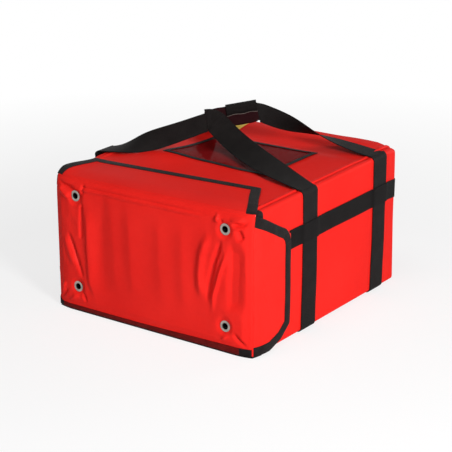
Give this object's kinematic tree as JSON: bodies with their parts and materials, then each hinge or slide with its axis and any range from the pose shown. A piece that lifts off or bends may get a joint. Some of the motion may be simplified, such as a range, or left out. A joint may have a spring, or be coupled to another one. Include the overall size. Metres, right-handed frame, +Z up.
{
  "type": "insulated bag",
  "caption": "Box-shaped insulated carrying bag with a front flap and wings, foil lining, webbing handles joined by a grip wrap, vent eyelets and a document window.",
  "frame": {"origin": "centre of the base, on the surface the bag stands on", "axes": "+Z up, the flap faces -Y, +X to the right seen from the front"},
  "size_m": [0.3916, 0.4256, 0.3155],
  "materials": {
    "red_fabric": "satin",
    "black_webbing": "matte",
    "black_binding": "matte",
    "grip_fabric": "matte",
    "hook_and_loop": "matte",
    "foam": "matte",
    "foil": "satin",
    "nickel": "polished",
    "clear_film": "gloss",
    "patch_fabric": "matte"
  },
  "bodies": {
    "bag": {"wrap_skin": "red_fabric", "top_skin": "red_fabric", "rear_skin": "red_fabric", "bottom_board": "foam", "top_board": "foam", "left_board": "foam", "right_board": "foam", "rear_board": "foam", "foil_lining": "foil", "mouth_binding": "black_binding", "hinge_tape": "black_binding", "strap_front": "black_webbing", "strap_rear": "black_webbing", "side_band": "black_webbing", "window_film": "clear_film", "window_frame": "black_binding", "plain_patch": "patch_fabric", "top_loop_strip": "hook_and_loop", "left_loop_strip": "hook_and_loop", "right_loop_strip": "hook_and_loop", "handle_leg_front_right": "black_webbing", "handle_leg_front_left": "black_webbing", "handle_leg_rear_right": "black_webbing", "handle_leg_rear_left": "black_webbing"},
    "flap": {"flap_skin": "red_fabric", "flap_foam": "foam", "flap_lining": "foil", "flap_bottom_binding": "black_binding", "eyelet_lower_left": "nickel", "eyelet_lower_right": "nickel", "eyelet_upper_left": "nickel", "eyelet_upper_right": "nickel", "eyelet_washer_lower_left": "nickel", "eyelet_washer_lower_right": "nickel", "eyelet_washer_upper_left": "nickel", "eyelet_washer_upper_right": "nickel"},
    "top_wing": {"top_wing_skin": "red_fabric", "top_wing_binding": "black_binding", "top_wing_hook_strip": "hook_and_loop"},
    "right_wing": {"right_wing_skin": "red_fabric", "right_wing_binding": "black_binding", "right_wing_hook_strip": "hook_and_loop"},
    "left_wing": {"left_wing_skin": "red_fabric", "left_wing_binding": "black_binding", "left_wing_hook_strip": "hook_and_loop"},
    "grip": {"grip_web_front": "black_webbing", "grip_web_rear": "black_webbing", "grip_wrap": "grip_fabric"},
    "wrap_flap": {"wrap_flap": "grip_fabric"}
  },
  "joints": [
    {"name": "flap_hinge", "type": "hinge", "parent": "bag", "child": "flap", "pos_m": [0, -0.21165, 0.0033], "axis": [1, 0, 0], "range_deg": [0, 90]},
    {"name": "top_wing_hinge", "type": "hinge", "parent": "flap", "child": "top_wing", "pos_m": [0, -0.21165, 0.225], "axis": [1, 0, 0], "range_deg": [0, 90]},
    {"name": "right_wing_hinge", "type": "hinge", "parent": "flap", "child": "right_wing", "pos_m": [0.195, -0.21165, 0.11075], "axis": [0, 0, -1], "range_deg": [0, 90]},
    {"name": "left_wing_hinge", "type": "hinge", "parent": "flap", "child": "left_wing", "pos_m": [-0.195, -0.21165, 0.11075], "axis": [0, 0, 1], "range_deg": [0, 90]},
    {"name": "grip_lift", "type": "slide", "parent": "bag", "child": "grip", "axis": [0, 0, 1], "range_m": [-0.02, 0.035], "deforming": ["handle_leg_front_right", "handle_leg_front_left", "handle_leg_rear_right", "handle_leg_rear_left"]},
    {"name": "wrap_flap_hinge", "type": "hinge", "parent": "grip", "child": "wrap_flap", "pos_m": [-0.02647, 0.03821, 0.30723], "axis": [-0.7967, -0.5789, -0.1736], "range_deg": [0, 120]}
  ]
}
